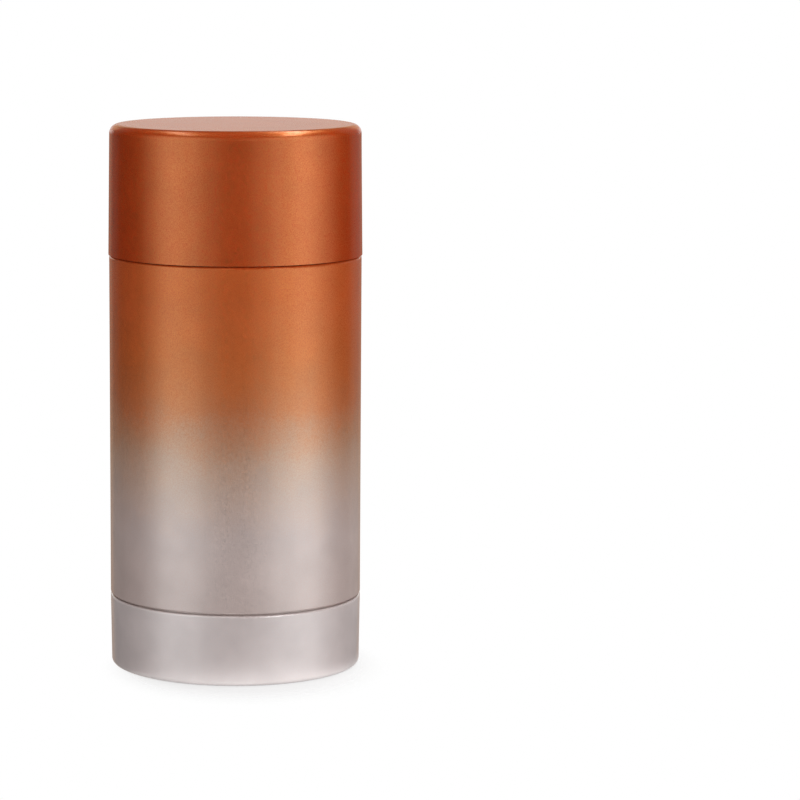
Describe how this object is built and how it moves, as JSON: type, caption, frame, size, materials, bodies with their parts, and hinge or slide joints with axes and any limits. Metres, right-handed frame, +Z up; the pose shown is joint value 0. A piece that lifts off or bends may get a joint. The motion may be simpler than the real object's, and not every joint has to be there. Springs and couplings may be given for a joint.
{
  "type": "empty deodorant stick container",
  "caption": "Round twist-up stick container with a pull-off cap, painted sleeve and base, and a screw-driven elevator in its barrel.",
  "frame": {"origin": "centre of the foot ring under the base, on the surface that the pack stands on", "axes": "+Z up along the pack's axis, from the base to the cap; the pack is round, so X and Y only fix the ribs' places"},
  "size_m": [0.0502, 0.0502, 0.1078],
  "materials": {
    "copper_paint": "satin metallic copper spray on moulded plastic",
    "faded_paint": "satin metallic spray that fades from copper at the top to pinkish silver",
    "silver_paint": "satin metallic pinkish silver spray on moulded plastic",
    "white_plastic": "moulded white polypropylene",
    "natural_plastic": "moulded natural polypropylene"
  },
  "bodies": {
    "container": {"outer_sleeve": "faded_paint", "barrel_tube": "white_plastic"},
    "dial": {"base_shell": "silver_paint", "drive_wheel": "white_plastic", "lead_screw": "natural_plastic"},
    "carrier": {"elevator": "white_plastic"},
    "cap": {"cap_shell": "copper_paint", "cap_liner": "white_plastic"}
  },
  "joints": [
    {"name": "cap_pull", "type": "slide", "parent": "container", "child": "cap", "axis": [0, 0, 1], "range_m": [0, 0.022]},
    {"name": "dial_turn", "type": "hinge", "parent": "container", "child": "dial", "pos_m": [0, 0, 0.014], "axis": [0, 0, 1], "range_deg": [0, 5796]},
    {"name": "elevator_lift", "type": "slide", "parent": "container", "child": "carrier", "axis": [0, 0, 1], "range_m": [0, 0.0644]}
  ],
  "couplings": [
    {"joint": "elevator_lift", "follows": "dial_turn", "m_per_rad": 0.00063662}
  ]
}
